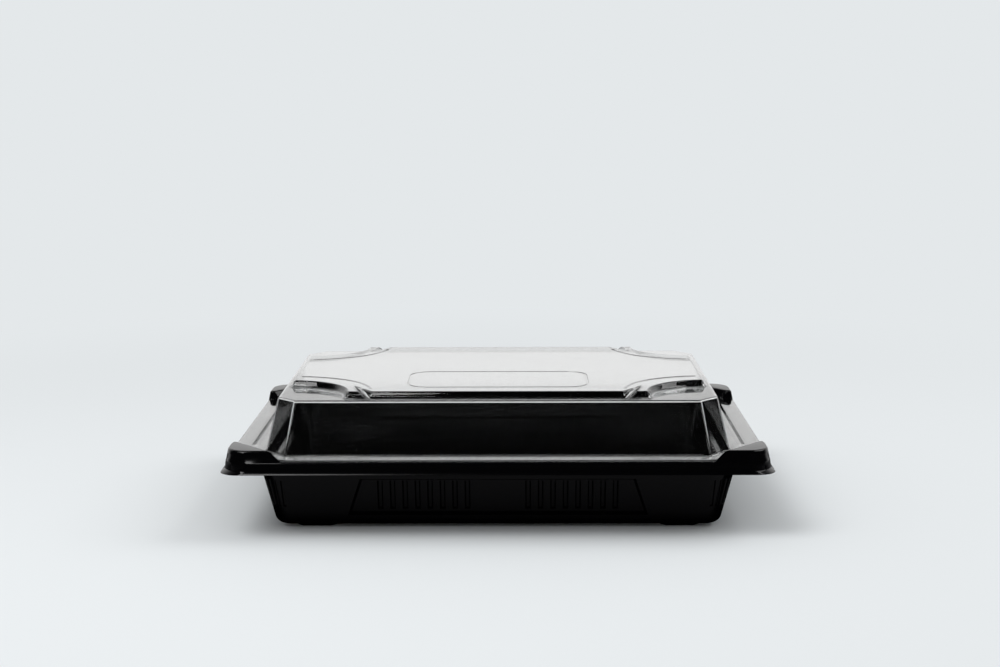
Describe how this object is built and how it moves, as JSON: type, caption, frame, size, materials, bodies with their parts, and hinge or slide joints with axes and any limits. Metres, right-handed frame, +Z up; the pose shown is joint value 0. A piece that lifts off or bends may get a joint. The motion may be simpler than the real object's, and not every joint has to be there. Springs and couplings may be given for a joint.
{
  "type": "sushi tray",
  "caption": "Black ribbed food tray with raised rim corners and a clear domed lift-off lid resting on its rim.",
  "frame": {"origin": "middle of the tray's footprint, on the plane its four corner feet stand on", "axes": "+X along the long sides, +Y along the short sides, +Z up through the lid"},
  "size_m": [0.185, 0.13, 0.047],
  "materials": {
    "tray_black": "glossy black vacuum-formed polypropylene sheet",
    "lid_clear": "clear glossy vacuum-formed polyethylene terephthalate sheet"
  },
  "bodies": {
    "tray": {"tray": "tray_black"},
    "lid": {"lid": "lid_clear"}
  },
  "joints": [
    {"name": "lid_lift", "type": "slide", "parent": "tray", "child": "lid", "axis": [0, 0, 1], "range_m": [0, 0.06]}
  ]
}
